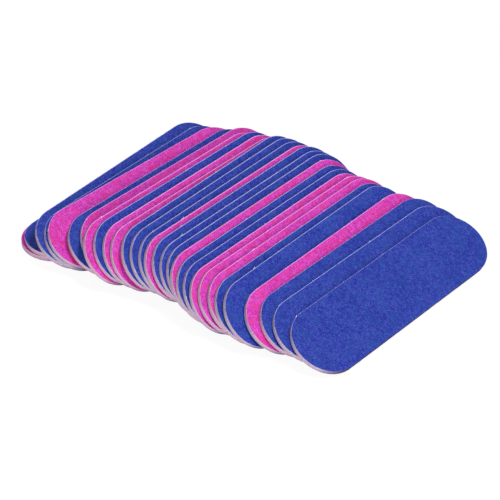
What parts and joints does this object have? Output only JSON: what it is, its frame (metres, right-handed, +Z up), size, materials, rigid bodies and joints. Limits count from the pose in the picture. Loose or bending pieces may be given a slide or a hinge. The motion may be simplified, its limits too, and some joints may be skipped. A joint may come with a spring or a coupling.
{
  "type": "emery board set",
  "caption": "Fan of small flat double-sided emery boards with rounded ends, dark blue abrasive paper on one face and pink on the other, spread in a leaning row.",
  "frame": {"origin": "middle of the base of the whole row's bounding box, on the table the boards lie on", "axes": "+X along the row from the lowest board to the top one, +Y along the boards' length, +Z up"},
  "size_m": [0.1162, 0.0906, 0.0185],
  "materials": {
    "core_board": "matt grey paperboard, cut edge",
    "blue_abrasive": "fine grit abrasive paper, matt",
    "pink_abrasive": "fine grit abrasive paper, matt"
  },
  "bodies": {
    "board_01": {"board_01_core": "core_board", "board_01_papers": "pink_abrasive"},
    "board_02": {"board_02_core": "core_board", "board_02_papers": "blue_abrasive"},
    "board_03": {"board_03_core": "core_board", "board_03_papers": "blue_abrasive"},
    "board_04": {"board_04_core": "core_board", "board_04_papers": "blue_abrasive"},
    "board_05": {"board_05_core": "core_board", "board_05_papers": "pink_abrasive"},
    "board_06": {"board_06_core": "core_board", "board_06_papers": "blue_abrasive"},
    "board_07": {"board_07_core": "core_board", "board_07_papers": "pink_abrasive"},
    "board_08": {"board_08_core": "core_board", "board_08_papers": "pink_abrasive"},
    "board_09": {"board_09_core": "core_board", "board_09_papers": "blue_abrasive"},
    "board_10": {"board_10_core": "core_board", "board_10_papers": "pink_abrasive"},
    "board_11": {"board_11_core": "core_board", "board_11_papers": "pink_abrasive"},
    "board_12": {"board_12_core": "core_board", "board_12_papers": "blue_abrasive"},
    "board_13": {"board_13_core": "core_board", "board_13_papers": "blue_abrasive"},
    "board_14": {"board_14_core": "core_board", "board_14_papers": "blue_abrasive"},
    "board_15": {"board_15_core": "core_board", "board_15_papers": "pink_abrasive"},
    "board_16": {"board_16_core": "core_board", "board_16_papers": "blue_abrasive"},
    "board_17": {"board_17_core": "core_board", "board_17_papers": "blue_abrasive"},
    "board_18": {"board_18_core": "core_board", "board_18_papers": "blue_abrasive"},
    "board_19": {"board_19_core": "core_board", "board_19_papers": "pink_abrasive"},
    "board_20": {"board_20_core": "core_board", "board_20_papers": "blue_abrasive"},
    "board_21": {"board_21_core": "core_board", "board_21_papers": "blue_abrasive"},
    "board_22": {"board_22_core": "core_board", "board_22_papers": "pink_abrasive"},
    "board_23": {"board_23_core": "core_board", "board_23_papers": "pink_abrasive"},
    "board_24": {"board_24_core": "core_board", "board_24_papers": "pink_abrasive"},
    "board_25": {"board_25_core": "core_board", "board_25_papers": "blue_abrasive"},
    "board_26": {"board_26_core": "core_board", "board_26_papers": "blue_abrasive"},
    "board_27": {"board_27_core": "core_board", "board_27_papers": "pink_abrasive"},
    "board_28": {"board_28_core": "core_board", "board_28_papers": "blue_abrasive"},
    "board_29": {"board_29_core": "core_board", "board_29_papers": "blue_abrasive"},
    "board_30": {"board_30_core": "core_board", "board_30_papers": "blue_abrasive"}
  },
  "joints": [
    {"name": "lift_02", "type": "slide", "parent": "board_01", "child": "board_02", "axis": [0, 0, 1], "range_m": [0, 0.008]},
    {"name": "lift_03", "type": "slide", "parent": "board_02", "child": "board_03", "axis": [0, 0, 1], "range_m": [0, 0.008]},
    {"name": "lift_04", "type": "slide", "parent": "board_03", "child": "board_04", "axis": [0, 0, 1], "range_m": [0, 0.008]},
    {"name": "lift_05", "type": "slide", "parent": "board_04", "child": "board_05", "axis": [0, 0, 1], "range_m": [0, 0.008]},
    {"name": "lift_06", "type": "slide", "parent": "board_05", "child": "board_06", "axis": [0, 0, 1], "range_m": [0, 0.008]},
    {"name": "lift_07", "type": "slide", "parent": "board_06", "child": "board_07", "axis": [0, 0, 1], "range_m": [0, 0.008]},
    {"name": "lift_08", "type": "slide", "parent": "board_07", "child": "board_08", "axis": [0, 0, 1], "range_m": [0, 0.008]},
    {"name": "lift_09", "type": "slide", "parent": "board_08", "child": "board_09", "axis": [0, 0, 1], "range_m": [0, 0.008]},
    {"name": "lift_10", "type": "slide", "parent": "board_09", "child": "board_10", "axis": [0, 0, 1], "range_m": [0, 0.008]},
    {"name": "lift_11", "type": "slide", "parent": "board_10", "child": "board_11", "axis": [0, 0, 1], "range_m": [0, 0.008]},
    {"name": "lift_12", "type": "slide", "parent": "board_11", "child": "board_12", "axis": [0, 0, 1], "range_m": [0, 0.008]},
    {"name": "lift_13", "type": "slide", "parent": "board_12", "child": "board_13", "axis": [0, 0, 1], "range_m": [0, 0.008]},
    {"name": "lift_14", "type": "slide", "parent": "board_13", "child": "board_14", "axis": [0, 0, 1], "range_m": [0, 0.008]},
    {"name": "lift_15", "type": "slide", "parent": "board_14", "child": "board_15", "axis": [0, 0, 1], "range_m": [0, 0.008]},
    {"name": "lift_16", "type": "slide", "parent": "board_15", "child": "board_16", "axis": [0, 0, 1], "range_m": [0, 0.008]},
    {"name": "lift_17", "type": "slide", "parent": "board_16", "child": "board_17", "axis": [0, 0, 1], "range_m": [0, 0.008]},
    {"name": "lift_18", "type": "slide", "parent": "board_17", "child": "board_18", "axis": [0, 0, 1], "range_m": [0, 0.008]},
    {"name": "lift_19", "type": "slide", "parent": "board_18", "child": "board_19", "axis": [0, 0, 1], "range_m": [0, 0.008]},
    {"name": "lift_20", "type": "slide", "parent": "board_19", "child": "board_20", "axis": [0, 0, 1], "range_m": [0, 0.008]},
    {"name": "lift_21", "type": "slide", "parent": "board_20", "child": "board_21", "axis": [0, 0, 1], "range_m": [0, 0.008]},
    {"name": "lift_22", "type": "slide", "parent": "board_21", "child": "board_22", "axis": [0, 0, 1], "range_m": [0, 0.008]},
    {"name": "lift_23", "type": "slide", "parent": "board_22", "child": "board_23", "axis": [0, 0, 1], "range_m": [0, 0.008]},
    {"name": "lift_24", "type": "slide", "parent": "board_23", "child": "board_24", "axis": [0, 0, 1], "range_m": [0, 0.008]},
    {"name": "lift_25", "type": "slide", "parent": "board_24", "child": "board_25", "axis": [0, 0, 1], "range_m": [0, 0.008]},
    {"name": "lift_26", "type": "slide", "parent": "board_25", "child": "board_26", "axis": [0, 0, 1], "range_m": [0, 0.008]},
    {"name": "lift_27", "type": "slide", "parent": "board_26", "child": "board_27", "axis": [0, 0, 1], "range_m": [0, 0.008]},
    {"name": "lift_28", "type": "slide", "parent": "board_27", "child": "board_28", "axis": [0, 0, 1], "range_m": [0, 0.008]},
    {"name": "lift_29", "type": "slide", "parent": "board_28", "child": "board_29", "axis": [0, 0, 1], "range_m": [0, 0.008]},
    {"name": "lift_30", "type": "slide", "parent": "board_29", "child": "board_30", "axis": [0, 0, 1], "range_m": [0, 0.008]}
  ]
}
